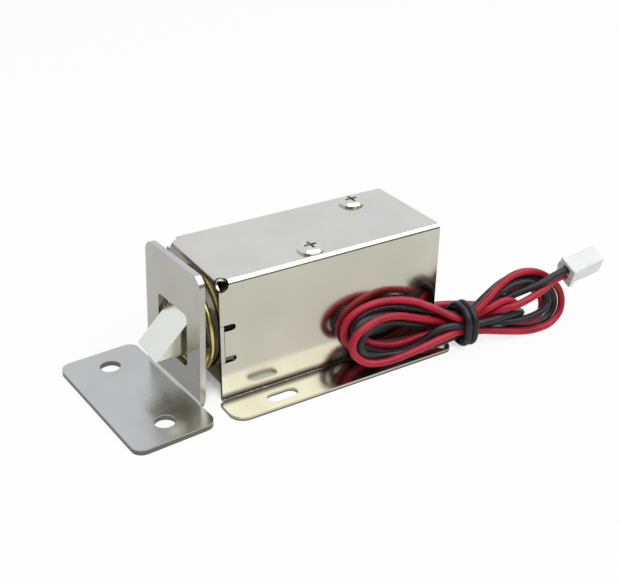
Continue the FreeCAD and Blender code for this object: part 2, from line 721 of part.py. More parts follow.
def make_strike():
    """The strike plate, with its window, its wide foot and two screw holes."""
    body = new_body("strike_plate")
    lean = "tan(strike_lean * 1 deg)"
    run = "(strike_sheet / cos(strike_lean * 1 deg))"
    profile = new_sketch(body, "profile", "XZ_Plane")
    outline(profile, [
        ("-strike_foot_length", "0"), ("0", "0"), ("(strike_height * %s)" % lean, "strike_height"),
        ("(strike_height * %s - %s)" % (lean, run), "strike_height"),
        ("(strike_sheet * %s - %s)" % (lean, run), "strike_sheet"), ("-strike_foot_length", "strike_sheet"),
    ])
    shape = pad(body, "strip", profile, "strike_width", both_ways=True)
    inside = number("strike_sheet * %s - %s" % (lean, run))
    names = edges_along(shape, ALONG_Y, (("x", inside), ("z", number("strike_sheet"))))
    shape = fillet(body, "bend_inside", shape, names, "strike_bend_inside")
    names = edges_along(shape, ALONG_Y, (("x", 0.0), ("z", 0.0)))
    shape = fillet(body, "bend_outside", shape, names, "(strike_bend_inside + strike_sheet)")
    names = edges_along(shape, ALONG_X, (("y", number("strike_width / 2")), ("z", number("strike_height"))))
    fillet(body, "top_corners", shape, names, "strike_top_corner")
    for side, sign in (("near", "-"), ("far", "")):
        ear = new_sketch(body, "ear_" + side, "XY_Plane")
        rectangle(ear, "-strike_foot_length", "-strike_foot_heel", sign + "strike_width / 2",
                  sign + "strike_foot_width / 2")
        shape = pad(body, "ear_pad_" + side, ear, "strike_sheet")
    edge = number("strike_foot_width / 2")
    names = edges_along(shape, ALONG_Z, (("x", number("strike_foot_length")), ("y", edge)))
    names += edges_along(shape, ALONG_Z, (("x", number("strike_foot_heel")), ("y", edge)))
    fillet(body, "foot_corners", shape, names, "strike_foot_corner")
    window = new_sketch(body, "window", "YZ_Plane")
    half = "strike_window_width / 2"
    top = "(strike_window_bottom + strike_window_height)"
    rectangle(window, "-" + half, half, "strike_window_bottom", top)
    shape = pocket(body, "window_cut", window)
    names = []
    for level in (number("strike_window_bottom"), number(top)):
        for index, edge in enumerate(shape.Shape.Edges):
            middle = edge.CenterOfMass
            if abs(middle.z - level) < 0.02 and abs(abs(middle.y) - number(half)) < 0.02:
                names.append("Edge%d" % (index + 1))
    fillet(body, "window_corners", shape, names, "strike_window_corner")
    holes = new_sketch(body, "holes", "XY_Plane")
    for sign in ("-", ""):
        circle(holes, "-strike_hole_from_back", sign + "strike_hole_spacing / 2", "strike_hole / 2")
    pocket(body, "hole_cut", holes, "(strike_sheet * 3)")
    body.Placement.Rotation = Rotation(ALONG_Z, number("strike_turn"))
    move(body, "(%s - strike_from_case)" % CASE_FRONT, "strike_aside")
    return body


def hank_place(along, off, up):
    """A point beside the hank's own upright plane, in the part's frame."""
    turn = Rotation(ALONG_Z, number("hank_turn"))
    return turn.multVec(Vector(along, off, up)) + Vector(0, number("hank_aside"), 0)


def rounded_route(points):
    """Straight runs joined by tangent arcs, each as large as its two runs allow."""
    edges = []
    start = points[0]
    for before, corner, after in zip(points, points[1:], points[2:]):
        arriving = corner - before
        leaving = after - corner
        shorter = min(arriving.Length, leaving.Length)
        arriving = arriving.normalize()
        leaving = leaving.normalize()
        half_turn = arriving.getAngle(leaving) / 2
        reach = 0.45 * shorter
        radius = reach / math.tan(half_turn)
        print("  radius %.1f mm, turn %.0f degrees" % (radius, math.degrees(half_turn * 2)))
        touch_in = corner - arriving * reach
        touch_out = corner + leaving * reach
        inward = (leaving - arriving).normalize()
        middle = corner + inward * (radius / math.cos(half_turn) - radius)
        edges.append(Part.LineSegment(start, touch_in).toShape())
        edges.append(Part.Arc(touch_in, middle, touch_out).toShape())
        start = touch_out
    edges.append(Part.LineSegment(start, points[-1]).toShape())
    return Part.Wire(edges)


def round_tube(route, diameter):
    first = route.Edges[0]
    heading = first.tangentAt(first.FirstParameter)
    ring = Part.Wire([Part.makeCircle(diameter / 2, route.Vertexes[0].Point, heading)])
    tube = route.makePipeShell([ring], True, True)
    expected = math.pi * diameter ** 2 / 4 * route.Length
    print("  length %.1f mm, volume over section times length %.4f" % (route.Length, tube.Volume / expected))
    return tube


def add_cord(label, points):
    print(label)
    feature = doc.addObject("Part::Feature", label)
    feature.Label = label
    feature.Shape = round_tube(rounded_route(points), number("lead_diameter"))
    return feature


def make_lead():
    """The lead from the coil to the hank, and from the hank's tie to the connector."""
    back = hank_place(37.7, number("hank_rear_back"), 5.4)
    before_back = hank_place(37.7, 8.0, 5.2)
    add_cord("lead_from_coil", [
        Vector(20.5, -8.7, 4.9), Vector(25.8, -8.6, 4.9), Vector(31.4, -9.2, 5.0), before_back, back,
    ])
    start = hank_place(number("hank_step"), -1.35, 8.3)
    add_cord("lead_to_connector", [
        start, hank_place(39.4, -1.5, 9.3), hank_place(45.4, -1.7, 10.6),
        hank_place(51.0, -1.0, 12.4), housing_place(),
    ])


def housing_place():
    """The middle of the connector's face where the wires go in."""
    return hank_place(55.7, 0.3, 13.4)


def lobe_outline(lobe, waist):
    """A drop shape: a large circle and a small one with their common tangents."""
    (far_point, far_radius), (near_point, near_radius) = lobe, waist
    span = near_point - far_point
    turn = math.acos((far_radius - near_radius) / span.Length)
    base = math.atan2(span.z, span.x)

    def on_circle(point, radius, angle):
        return point + Vector(math.cos(angle), 0, math.sin(angle)) * radius

    upper_far = on_circle(far_point, far_radius, base + turn)
    lower_far = on_circle(far_point, far_radius, base - turn)
    upper_near = on_circle(near_point, near_radius, base + turn)
    lower_near = on_circle(near_point, near_radius, base - turn)
    round_far = Part.Arc(upper_far, on_circle(far_point, far_radius, base + math.pi), lower_far)
    round_near = Part.Arc(lower_near, on_circle(near_point, near_radius, base), upper_near)
    return Part.Face(Part.Wire([
        round_far.toShape(), Part.LineSegment(lower_far, lower_near).toShape(),
        round_near.toShape(), Part.LineSegment(upper_near, upper_far).toShape(),
    ]))


def rounded_lobe(lobe, waist, thickness, rounding):
    """The drop shape drawn out to its thickness, with the edges of both faces rounded."""
    block = lobe_outline(lobe, waist).extrude(Vector(0, thickness, 0))
    rims = []
    for edge in block.Edges:
        ends = [vertex.Point for vertex in edge.Vertexes]
        if abs(ends[0].y - ends[-1].y) < 0.001:
            rims.append(edge)
    return block.makeFillet(rounding, rims)


def make_hank():
    """One closed solid of the outer shape of the tied turns: two lobes and a waist."""
    radius = number("hank_lobe_radius")
    front_lobe = (Vector(number("hank_front_lobe"), 0, number("hank_front_lobe_height")), radius)
    rear_lobe = (Vector(number("hank_rear_lobe"), 0, number("hank_rear_lobe_height")), radius)
    neck = number("hank_waist_radius")
    up = number("hank_waist_height")
    front_neck = (Vector(number("hank_waist - hank_neck / 2"), 0, up), neck)
    rear_neck = (Vector(number("hank_waist + hank_neck / 2"), 0, up), neck)
    face = number("hank_face")
    thickness = number("hank_back") + face
    edge = number("hank_edge")
    front_solid = rounded_lobe(front_lobe, front_neck, thickness, edge)
    front_solid = front_solid.fuse(rounded_lobe(front_neck, rear_neck, thickness, edge))
    front_solid.translate(Vector(0, -face, 0))
    rear_solid = rounded_lobe(rear_lobe, rear_neck, number("hank_rear_back"), number("hank_rear_edge"))
    solid = front_solid.fuse(rear_solid).removeSplitter()
    feature = doc.addObject("Part::Feature", "cable_hank")
    feature.Label = "cable_hank"
    feature.Shape = solid
    feature.Placement = Placement(Vector(0, number("hank_aside"), 0), Rotation(ALONG_Z, number("hank_turn")))
    return feature


def make_tie():
    """A round strand wound twice about the hank's waist, its turns side by side."""
    wire = number("tie_wire")
    gap = wire / 2 + number("tie_play")
    corner = number("hank_edge") + gap
    low = number("hank_waist_height - hank_waist_radius") - gap
    high = number("hank_waist_height + hank_waist_radius") + gap
    back = number("hank_back") + gap
    front = -number("hank_face") - gap
    rings = []
    for turn in (-0.5, 0.5):
        along = number("hank_waist") + turn * number("tie_pitch")
        corners = [(front, low), (back, low), (back, high), (front, high)]
        edges = []
        for (y, z), (ny, nz) in zip(corners, corners[1:] + corners[:1]):
            step = Vector(0, ny - y, nz - z).normalize()
            edges.append(Part.LineSegment(Vector(along, y, z) + step * corner,
                                          Vector(along, ny, nz) - step * corner).toShape())
        middle = Vector(along, (front + back) / 2, (low + high) / 2)
        arcs = []
        for index, (y, z) in enumerate(corners):
            point = Vector(along, y, z)
            arriving = edges[index - 1].Vertexes[-1].Point
            leaving = edges[index].Vertexes[0].Point
            inward = Vector(0, math.copysign(1, middle.y - y), math.copysign(1, middle.z - z))
            centre = point + inward * corner
            arcs.append(Part.Arc(arriving, centre - inward.normalize() * corner, leaving).toShape())
        path = Part.Wire(Part.__sortEdges__(edges + arcs))
        start = edges[0].Vertexes[0].Point
        ring = Part.Wire([Part.makeCircle(wire / 2, start, Vector(0, 1, 0))])
        rings.append(path.makePipeShell([ring], True, True))
    feature = doc.addObject("Part::Feature", "cable_tie")
    feature.Label = "cable_tie"
    feature.Shape = rings[0].fuse(rings[1])
    feature.Placement = Placement(Vector(0, number("hank_aside"), 0), Rotation(ALONG_Z, number("hank_turn")))
    return feature


def connector_rotation():
    turn = Rotation(ALONG_Z, number("hank_turn + housing_turn"))
    pitch = Rotation(ALONG_Y, number("housing_pitch"))
    roll = Rotation(ALONG_X, number("housing_roll"))
    return turn.multiply(pitch).multiply(roll)


def make_connector():
    """The two-way housing with its collar, cavities and latch, and a crimp contact in each."""
    body = new_body("connector_housing")
    wide = "housing_width / 2"
    tall = "housing_height / 2"
    block = new_sketch(body, "block", "YZ_Plane", "housing_collar")
    rectangle(block, "-" + wide, wide, "-" + tall, tall)
    shape = pad(body, "block_pad", block, "(housing_length - housing_collar)")
    collar = new_sketch(body, "collar", "YZ_Plane")
    large = "(housing_width / 2 + housing_collar_step)"
    high = "(housing_height / 2 + housing_collar_step)"
    rectangle(collar, "-" + large, large, "-" + high, high)
    shape = pad(body, "collar_pad", collar, "housing_collar")
    names = edges_along(shape, ALONG_X, (("y", number(wide)), ("z", number(tall))))
    fillet(body, "edges", shape, names, "housing_edge")
    latch = new_sketch(body, "latch", "XZ_Plane")
    outline(latch, [
        ("0", "(-housing_height / 2 + latch_root)"),
        ("latch_length", "(-housing_height / 2 + latch_root)"),
        ("latch_length", "(-housing_height / 2 - latch_tip_height)"),
        ("0", "(-housing_height / 2 - latch_height)"),
    ])
    pad(body, "latch_pad", latch, "latch_width", both_ways=True)
    cavities = new_sketch(body, "cavities", "YZ_Plane")
    for sign in ("-", ""):
        middle = "(%scontact_spacing / 2)" % sign
        rectangle(cavities, "(%s - cavity_width / 2)" % middle, "(%s + cavity_width / 2)" % middle,
                  "-cavity_height / 2", "cavity_height / 2")
    pocket(body, "cavity_cut", cavities, "cavity_depth", both_ways=False, reverse=True)
    turned = connector_rotation()
    body.Placement = Placement(housing_place(), turned)

    for label, sign in (("contact_red", "-"), ("contact_black", "")):
        contact = new_body(label)
        middle = "(%scontact_spacing / 2)" % sign
        box = new_sketch(contact, "box", "YZ_Plane", "contact_play")
        rectangle(box, "(%s - contact_width / 2)" % middle, "(%s + contact_width / 2)" % middle,
                  "-contact_height / 2", "contact_height / 2")
        pad(contact, "box_pad", box, "contact_length")
        mouth = new_sketch(contact, "mouth", "YZ_Plane", "contact_play")
        rectangle(mouth, "(%s - contact_width / 2 + contact_wall)" % middle,
                  "(%s + contact_width / 2 - contact_wall)" % middle,
                  "(-contact_height / 2 + contact_wall)", "(contact_height / 2 - contact_wall)")
        pocket(contact, "mouth_cut", mouth, "(contact_length * 3)")
        contact.Placement = Placement(housing_place(), turned)


make_case()
make_yoke()
make_coil()
make_guide_and_core()
make_plunger()
make_bolt()
make_pin()
make_springs()
make_screw("case_screw_front", "front_screw_from_middle", "front_screw_aside")
make_screw("case_screw_rear", "rear_screw_from_middle", "rear_screw_aside")
make_strike()
make_lead()
make_hank()
make_tie()
make_connector()
doc.recompute()

for item in doc.Objects:
    if "Invalid" in item.State or "Error" in item.State:
        raise ValueError("%s failed: %s" % (item.Name, item.State))

os.makedirs("parts", exist_ok=True)
for item in doc.Objects:
    if item.TypeId not in ("PartDesign::Body", "Part::Feature"):
        continue
    solid_shape = item.Shape
    if solid_shape.isNull() or not solid_shape.isValid():
        raise ValueError("%s has no valid shape" % item.Label)
    print("%-20s %d solid  %9.2f mm3" % (item.Label, len(solid_shape.Solids), solid_shape.Volume))
    solid_shape.exportStep("parts/%s.step" % item.Label)
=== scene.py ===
import math

import bpy
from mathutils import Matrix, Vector


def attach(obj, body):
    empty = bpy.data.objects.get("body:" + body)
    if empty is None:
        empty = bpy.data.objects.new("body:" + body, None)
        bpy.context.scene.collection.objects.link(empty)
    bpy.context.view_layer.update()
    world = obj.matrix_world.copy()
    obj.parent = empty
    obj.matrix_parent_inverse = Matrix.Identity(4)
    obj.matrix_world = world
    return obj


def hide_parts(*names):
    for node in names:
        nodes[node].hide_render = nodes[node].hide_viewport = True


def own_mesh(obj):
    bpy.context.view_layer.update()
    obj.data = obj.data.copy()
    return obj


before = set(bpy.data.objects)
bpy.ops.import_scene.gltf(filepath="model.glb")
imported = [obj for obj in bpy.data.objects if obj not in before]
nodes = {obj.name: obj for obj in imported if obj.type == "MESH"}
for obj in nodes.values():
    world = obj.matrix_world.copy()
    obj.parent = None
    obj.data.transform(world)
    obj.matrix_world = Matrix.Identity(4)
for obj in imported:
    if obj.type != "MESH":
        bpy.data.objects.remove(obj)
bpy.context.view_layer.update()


# The camera looks at the lock from its lead side and the strike's end, and a little from above.
# A normal lens is used from about 22 cm away.
camera_data = bpy.data.cameras.new("camera")
camera_data.lens = 59.12
camera_data.sensor_width = 36.0
camera_data.clip_start = 0.005
camera = bpy.data.objects.new("camera", camera_data)
camera.location = (-0.10106, -0.16502, 0.11884)
camera.rotation_euler = (1.070689, -0.010533, -0.550906)
bpy.context.scene.collection.objects.link(camera)
bpy.context.scene.camera = camera


# The table is a plain white sheet. The camera sees it nearly white and the bright metal sees a
# part of that glow. The glow fades where things stand close over it, which paints shade into narrow
# gaps and under the case. It takes the light that falls on it, so the lock's soft shadow stays.
def together(tree, first, second, way="MULTIPLY"):
    """Two factors multiplied, or joined in another way. The second may be a plain number."""
    node = tree.nodes.new("ShaderNodeMath")
    node.operation = way
    tree.links.new(first, node.inputs[0])
    if isinstance(second, float):
        node.inputs[1].default_value = second
    else:
        tree.links.new(second, node.inputs[1])
    return node.outputs[0]


def fade(tree, value, start, end):
    """A factor that goes softly from 0 where the value is start to 1 where it is end."""
    node = tree.nodes.new("ShaderNodeMapRange")
    node.interpolation_type = "SMOOTHSTEP"
    node.inputs["From Min"].default_value = start
    node.inputs["From Max"].default_value = end
    tree.links.new(value, node.inputs["Value"])
    return node.outputs["Result"]


def is_seen(tree, to_camera=1.0, to_metal=1.0):
    """A share for rays from the camera and another for rays that metal or glass sends on."""
    path = tree.nodes.new("ShaderNodeLightPath")
    by_camera = together(tree, path.outputs["Is Camera Ray"], to_camera)
    by_metal = together(tree, path.outputs["Is Glossy Ray"], to_metal)
    by_glass = together(tree, path.outputs["Is Transmission Ray"], to_metal)
    return together(tree, together(tree, by_camera, by_metal, "MAXIMUM"), by_glass, "MAXIMUM")


def chosen(tree, factor, plain, other, output):
    """One shader, and another where the factor is high, sent to the output's surface."""
    node = tree.nodes.new("ShaderNodeMixShader")
    for source, socket in zip((factor, plain.outputs[0], other.outputs[0]), node.inputs):
        tree.links.new(source, socket)
    tree.links.new(node.outputs[0], tree.nodes.new(output).inputs["Surface"])


bpy.ops.object.select_all(action="DESELECT")
bpy.ops.mesh.primitive_plane_add(size=4.0, location=(0, 0, 0))
table = bpy.context.object
table.name = "table"
table_paper = bpy.data.materials.new("table_paper")
table_paper.use_nodes = True
tree = table_paper.node_tree
tree.nodes.clear()
matt = tree.nodes.new("ShaderNodeBsdfDiffuse")
matt.inputs["Color"].default_value = (0.90, 0.90, 0.89, 1)
white = tree.nodes.new("ShaderNodeEmission")
white.inputs["Strength"].default_value = 1.0
# Painted shade: the glow is cut back where other things are close over the table.
nearby = tree.nodes.new("ShaderNodeAmbientOcclusion")
nearby.samples = 8
nearby.inputs["Distance"].default_value = 0.03
open_sky = fade(tree, nearby.outputs["AO"], 0.02, 0.09)
chosen(tree, together(tree, is_seen(tree, 0.92, 0.22), open_sky), matt, white,
       "ShaderNodeOutputMaterial")
table.data.materials.append(table_paper)


# The room is white to the camera. In the bright metal it shows as a studio does: a cool white wall
# behind the lock, and a dim space low down in front of it, which draws the dark lines of the bends.
def blended(tree, factor, plain, other):
    """A colour that turns from a plain one to another one where the factor is high."""
    node = tree.nodes.new("ShaderNodeMix")
    node.data_type = "RGBA"
    factor_in, plain_in, other_in, colour_out = (
        node.inputs[0], node.inputs[6], node.inputs[7], node.outputs[2])
    tree.links.new(factor, factor_in)
    if isinstance(plain, tuple):
        plain_in.default_value = (*plain, 1)
    else:
        tree.links.new(plain, plain_in)
    other_in.default_value = (*other, 1)
    return colour_out


room = bpy.data.worlds.new("room")
bpy.context.scene.world = room
room.use_nodes = True
tree = room.node_tree
tree.nodes.clear()
way = tree.nodes.new("ShaderNodeSeparateXYZ")
tree.links.new(tree.nodes.new("ShaderNodeTexCoord").outputs["Generated"], way.inputs[0])
ahead = fade(tree, way.outputs["Y"], 0.15, -0.25)
low = fade(tree, way.outputs["Z"], 0.60, 0.45)
walls = blended(tree, together(tree, ahead, low), (1.02, 1.05, 1.19), (0.24, 0.23, 0.21))
by_camera = tree.nodes.new("ShaderNodeLightPath").outputs["Is Camera Ray"]
seen = tree.nodes.new("ShaderNodeBackground")
seen.inputs["Strength"].default_value = 1.0
tree.links.new(blended(tree, by_camera, walls, (1, 1, 1)), seen.inputs["Color"])
soft = tree.nodes.new("ShaderNodeBackground")
soft.inputs["Color"].default_value = (0.97, 0.98, 1.0, 1)
soft.inputs["Strength"].default_value = 0.28
chosen(tree, is_seen(tree), soft, seen, "ShaderNodeOutputWorld")


# One large soft box hangs over the lead's side and is turned towards the middle of the lock.
lamp = bpy.data.lights.new("overhead_lamp", "AREA")
lamp.shape = "SQUARE"
lamp.size = 1.25
lamp.energy = 9.6
soft_box = bpy.data.objects.new("overhead_lamp", lamp)
soft_box.location = (0.20, -0.33, 0.78)
to_lock = Vector((0.005, -0.005, 0.012)) - Vector((0.20, -0.33, 0.78))
soft_box.rotation_euler = to_lock.to_track_quat("-Z", "Y").to_euler()
bpy.context.scene.collection.objects.link(soft_box)


# The case is folded from 0.8 mm steel sheet and plated with bright nickel. The plating is a
# shiny cream silver, with faint rolling marks and a haze where hands have touched it.
MM = 0.001


def surface_shader(name, metallic):
    """A new material with one shader, and the object's own coordinates for its patterns."""
    material = bpy.data.materials.new(name)
    material.use_nodes = True
    tree = material.node_tree
    shader = tree.nodes["Principled BSDF"]
    shader.inputs["Metallic"].default_value = metallic
    place = tree.nodes.new("ShaderNodeTexCoord")
    return material, tree, shader, place.outputs["Object"]


def cloud(tree, place, scale, detail, stretch=(1, 1, 1)):
    """A soft noise from 0 to 1, stretched along an axis where the surface was drawn or rubbed."""
    mapping = tree.nodes.new("ShaderNodeMapping")
    mapping.inputs["Scale"].default_value = stretch
    tree.links.new(place, mapping.inputs["Vector"])
    noise = tree.nodes.new("ShaderNodeTexNoise")
    noise.inputs["Scale"].default_value = scale
    noise.inputs["Detail"].default_value = detail
    tree.links.new(mapping.outputs["Vector"], noise.inputs["Vector"])
    return noise.outputs["Fac"]


def shades(deep, pale):
    """Two colours at the ends of a noise's middle range."""
    return [(0.30, deep), (0.70, pale)]


def tint(tree, factor, stops, socket):
    """Colours along a ramp that the factor picks."""
    ramp = tree.nodes.new("ShaderNodeValToRGB")
    while len(ramp.color_ramp.elements) < len(stops):
        ramp.color_ramp.elements.new(0.5)
    for element, (position, colour) in zip(ramp.color_ramp.elements, stops):
        element.position = position
        element.color = (*colour, 1)
    tree.links.new(factor, ramp.inputs["Fac"])
    tree.links.new(ramp.outputs["Color"], socket)


def span(tree, factor, low, high, socket):
    """A noise's middle range spread between two values."""
    spread = tree.nodes.new("ShaderNodeMapRange")
    spread.inputs["From Min"].default_value = 0.3
    spread.inputs["From Max"].default_value = 0.7
    spread.inputs["To Min"].default_value = low
    spread.inputs["To Max"].default_value = high
    tree.links.new(factor, spread.inputs["Value"])
    tree.links.new(spread.outputs["Result"], socket)


def relief(tree, factor, depth, below=None):
    """Unevenness of the given depth, over a broader one if there is one."""
    bump = tree.nodes.new("ShaderNodeBump")
    bump.inputs["Strength"].default_value = 1.0
    bump.inputs["Distance"].default_value = depth
    tree.links.new(factor, bump.inputs["Height"])
    if below:
        tree.links.new(below, bump.inputs["Normal"])
    return bump.outputs["Normal"]


def plated(name, stops, smooth, dull, wave, marks=(1, 1, 1), grain=0.002 * MM):
    """Plated metal: its tint wanders a little, and it has uneven gloss, waves and a grain."""
    material, tree, shader, place = surface_shader(name, 1.0)
    tint(tree, cloud(tree, place, 70, 3, marks), stops, shader.inputs["Base Color"])
    span(tree, cloud(tree, place, 260, 4, marks), smooth, dull, shader.inputs["Roughness"])
    waves = relief(tree, cloud(tree, place, 140, 3, marks), wave)
    grained = relief(tree, cloud(tree, place, 4200, 2, marks), grain, waves)
    tree.links.new(grained, shader.inputs["Normal"])
    return material


def wear(node, material):
    """Give a solid of the frame its finish."""
    for held in nodes[node].material_slots:
        held.material = material


def band(tree, value, low_start, low_end, high_start, high_end):
    """A factor that is 1 between two soft limits of a coordinate and 0 beyond them."""
    return together(tree, fade(tree, value, low_start, low_end),
                    fade(tree, value, high_end, high_start))


def size_of(tree, value):
    """The value without its sign."""
    node = tree.nodes.new("ShaderNodeMath")
    node.operation = "ABSOLUTE"
    tree.links.new(value, node.inputs[0])
    return node.outputs[0]


def place_and_facing(tree):
    """The place on a piece and the way its surface faces, each with outputs X, Y and Z."""
    place = tree.nodes.new("ShaderNodeSeparateXYZ")
    tree.links.new(tree.nodes.new("ShaderNodeTexCoord").outputs["Object"], place.inputs[0])
    facing = tree.nodes.new("ShaderNodeSeparateXYZ")
    tree.links.new(tree.nodes.new("ShaderNodeNewGeometry").outputs["Normal"], facing.inputs[0])
    return place.outputs, facing.outputs


def cut_rim(tree, place, facing, full, none):
    """The upright walls of a flat sheet's rim and holes, up to where the sheet turns up."""
    return together(tree, fade(tree, place["Z"], none, full),
                    fade(tree, size_of(tree, facing["Z"]), 0.60, 0.45))


def darken(material, factor, colour):
    """Mix a dark colour into a material's own where the factor is high."""
    tree = material.node_tree
    shader = tree.nodes["Principled BSDF"]
    plain = shader.inputs["Base Color"].links[0].from_socket
    tree.links.new(blended(tree, factor, plain, colour), shader.inputs["Base Color"])


bright_nickel = plated(
    "bright_nickel", shades((0.55, 0.535, 0.445), (0.61, 0.595, 0.505)), 0.12, 0.18, 0.02 * MM,
    grain=0.005 * MM)
tree = bright_nickel.node_tree
place, facing = place_and_facing(tree)
aside = size_of(tree, place["Y"])

# The fold above each flange gets a painted shade: a dark line along the bend, broken up by a fine
# grain.
shade_grain = tree.nodes.new("ShaderNodeMapRange")
shade_grain.inputs["From Min"].default_value = 0.05
shade_grain.inputs["From Max"].default_value = 0.42
own_place = tree.nodes.new("ShaderNodeTexCoord").outputs["Object"]
tree.links.new(cloud(tree, own_place, 2600, 3), shade_grain.inputs["Value"])
over_flange = band(tree, place["Z"], 0.77 * MM, 0.81 * MM, 1.40 * MM, 2.80 * MM)
by_the_side = band(tree, aside, 11.80 * MM, 11.85 * MM, 12.40 * MM, 12.55 * MM)
fold = together(tree, over_flange, by_the_side)
darken(bright_nickel, together(tree, fold, shade_grain.outputs["Result"]), (0.08, 0.068, 0.055))

# The front wall's face, in the narrow gap behind the spring, is darkened with painted shade and a
# painted dim reflection of the strike's shaded back.
shaded_wall_face = band(tree, place["X"], -26.20 * MM, -26.15 * MM, -25.90 * MM, -25.70 * MM)
between_sides = fade(tree, aside, 11.00 * MM, 10.90 * MM)
darken(bright_nickel, together(tree, shaded_wall_face, between_sides), (0.26, 0.235, 0.18))

# The sheet's cut edges are sheared and darker: the flanges' rims and the sides' two ends.
rim = cut_rim(tree, place, facing, 0.15 * MM, 0.55 * MM)
up_the_side = band(tree, place["Z"], 0.40 * MM, 0.80 * MM, 26.20 * MM, 26.60 * MM)
on_the_side = fade(tree, aside, 10.85 * MM, 10.95 * MM)
to_an_end = fade(tree, size_of(tree, facing["X"]), 0.55, 0.75)
end = together(tree, together(tree, up_the_side, on_the_side), to_an_end)
darken(bright_nickel, together(tree, rim, end, "MAXIMUM"), (0.11, 0.095, 0.07))
wear("case", bright_nickel)


# The yoke is a nickel plated strip. The plunger and the fixed core are turned from soft iron,
# and the roll pin and the return spring are of plain spring steel.
wear("solenoid_yoke", plated(
    "yoke_plate", shades((0.50, 0.49, 0.44), (0.60, 0.59, 0.54)), 0.25, 0.40, 0.03 * MM))
turned_iron = plated(
    "turned_iron", shades((0.46, 0.46, 0.46), (0.58, 0.58, 0.57)), 0.22, 0.36, 0.02 * MM,
    (4, 0.4, 0.4))
wear("fixed_core", turned_iron)
wear("plunger", turned_iron)
spring_steel = plated(
    "spring_steel", shades((0.26, 0.26, 0.27), (0.42, 0.42, 0.43)), 0.28, 0.42, 0.01 * MM)
wear("roll_pin", spring_steel)
wear("return_spring", spring_steel)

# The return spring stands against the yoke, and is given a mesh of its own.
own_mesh(nodes["return_spring"])


# The bobbin is moulded in natural nylon. The coil is wound on it from copper wire and wrapped in
# yellow tape, and the guide tube in its bore is drawn brass.
def moulded(name, dark, pale, smooth, dull):
    """Moulded plastic with a slight unevenness in its colour and gloss."""
    material, tree, shader, place = surface_shader(name, 0.0)
    tint(tree, cloud(tree, place, 220, 3), shades(dark, pale), shader.inputs["Base Color"])
    span(tree, cloud(tree, place, 500, 3), smooth, dull, shader.inputs["Roughness"])
    uneven = relief(tree, cloud(tree, place, 1400, 2), 0.01 * MM)
    tree.links.new(uneven, shader.inputs["Normal"])
    return material


wear("bobbin", moulded("bobbin_nylon", (0.60, 0.58, 0.50), (0.70, 0.68, 0.60), 0.4, 0.55))
wear("coil_winding", plated(
    "copper_winding", shades((0.50, 0.17, 0.07), (0.72, 0.30, 0.13)), 0.25, 0.4, 0.04 * MM,
    (30, 1, 1)))
wear("coil_tape", moulded("polyester_tape", (0.52, 0.33, 0.04), (0.66, 0.45, 0.08), 0.18, 0.3))
wear("guide_tube", plated(
    "drawn_brass", shades((0.62, 0.43, 0.16), (0.76, 0.56, 0.25)), 0.2, 0.35, 0.01 * MM,
    (0.3, 3, 3)))


# The bolt is a zinc casting with a thick satin nickel plate, rubbed along its stroke.
wear("latch_bolt", plated(
    "satin_bolt", shades((0.70, 0.69, 0.575), (0.77, 0.76, 0.64)), 0.20, 0.30, 0.02 * MM,
    (0.3, 1, 1)))


# The two pan head screws are nickel plated steel with a cross recess. They hold the solenoid's
# yoke up against the top of the case.
screw_plate = plated(
    "screw_plate", shades((0.56, 0.545, 0.46), (0.64, 0.625, 0.54)), 0.12, 0.22, 0.01 * MM)
wear("case_screw_front", screw_plate)
wear("case_screw_rear", screw_plate)


# The front spring is wound from wire with a yellow passivated plate, whose tint wanders from deep
# to pale.
yellow_stops = [(0.25, (0.42, 0.32, 0.09)), (0.55, (0.68, 0.57, 0.21)), (0.8, (0.80, 0.70, 0.34))]
wear("front_spring", plated("yellow_plate", yellow_stops, 0.20, 0.34, 0.01 * MM))


# The strike is bent from 1.25 mm steel sheet and has a finer, greyer satin plate. The sheared
# rim of its foot and the walls of its screw holes are darker.
satin_strike = plated(
    "satin_strike", shades((0.455, 0.45, 0.405), (0.505, 0.50, 0.45)), 0.21, 0.29, 0.02 * MM,
    grain=0.0007 * MM)
tree = satin_strike.node_tree
place, facing = place_and_facing(tree)
darken(satin_strike, cut_rim(tree, place, facing, 0.85 * MM, 1.20 * MM), (0.17, 0.165, 0.145))
wear("strike_plate", satin_strike)


# The lead is two PVC wires, red and black, side by side and 1.65 mm thick each. They leave the
# coil at the case's open end, fold back and are wound in two lobes, bound together at the waist.
# The points follow the lead's route in the hank's own frame: along it, away from it and up.
def hank_point(along, aside, up):
    """A point of the hank's own frame, in millimetres, given in the lock's frame, in metres."""
    turn = math.radians(-7.3)
    hank_from_middle = 15.98
    x = along * math.cos(turn) - aside * math.sin(turn)
    y = along * math.sin(turn) + aside * math.cos(turn) - hank_from_middle
    return (x * MM, y * MM, up * MM)


def wire(name, places, diameter):
    """A round wire on a smooth spline through the hank."""
    line = bpy.data.curves.new(name, "CURVE")
    line.dimensions = "3D"
    spline = line.splines.new("NURBS")
    spline.points.add(len(places) - 1)
    for point, place in zip(spline.points, places):
        point.co = (*hank_point(*place), 1.0)
        point.radius = diameter / 2
    spline.order_u = 3
    spline.use_endpoint_u = True
    spline.resolution_u = 8
    line.bevel_depth = 1.0
    line.bevel_resolution = 4
    line.use_fill_caps = True
    piece = bpy.data.objects.new(name, line)
    bpy.context.scene.collection.objects.link(piece)
    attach(piece, "root")
    return piece


def insulation(name, deep, plain, rubbed):
    """Extruded PVC: a soft gloss, paler where it was rubbed and bent."""
    material, tree, shader, place = surface_shader(name, 0.0)
    shader.inputs["Specular IOR Level"].default_value = 0.32
    tint(tree, cloud(tree, place, 160, 4), [(0.30, deep), (0.52, plain), (0.78, rubbed)],
         shader.inputs["Base Color"])
    span(tree, cloud(tree, place, 420, 3), 0.28, 0.42, shader.inputs["Roughness"])
    uneven = relief(tree, cloud(tree, place, 900, 4), 0.03 * MM)
    tree.links.new(uneven, shader.inputs["Normal"])
    return material


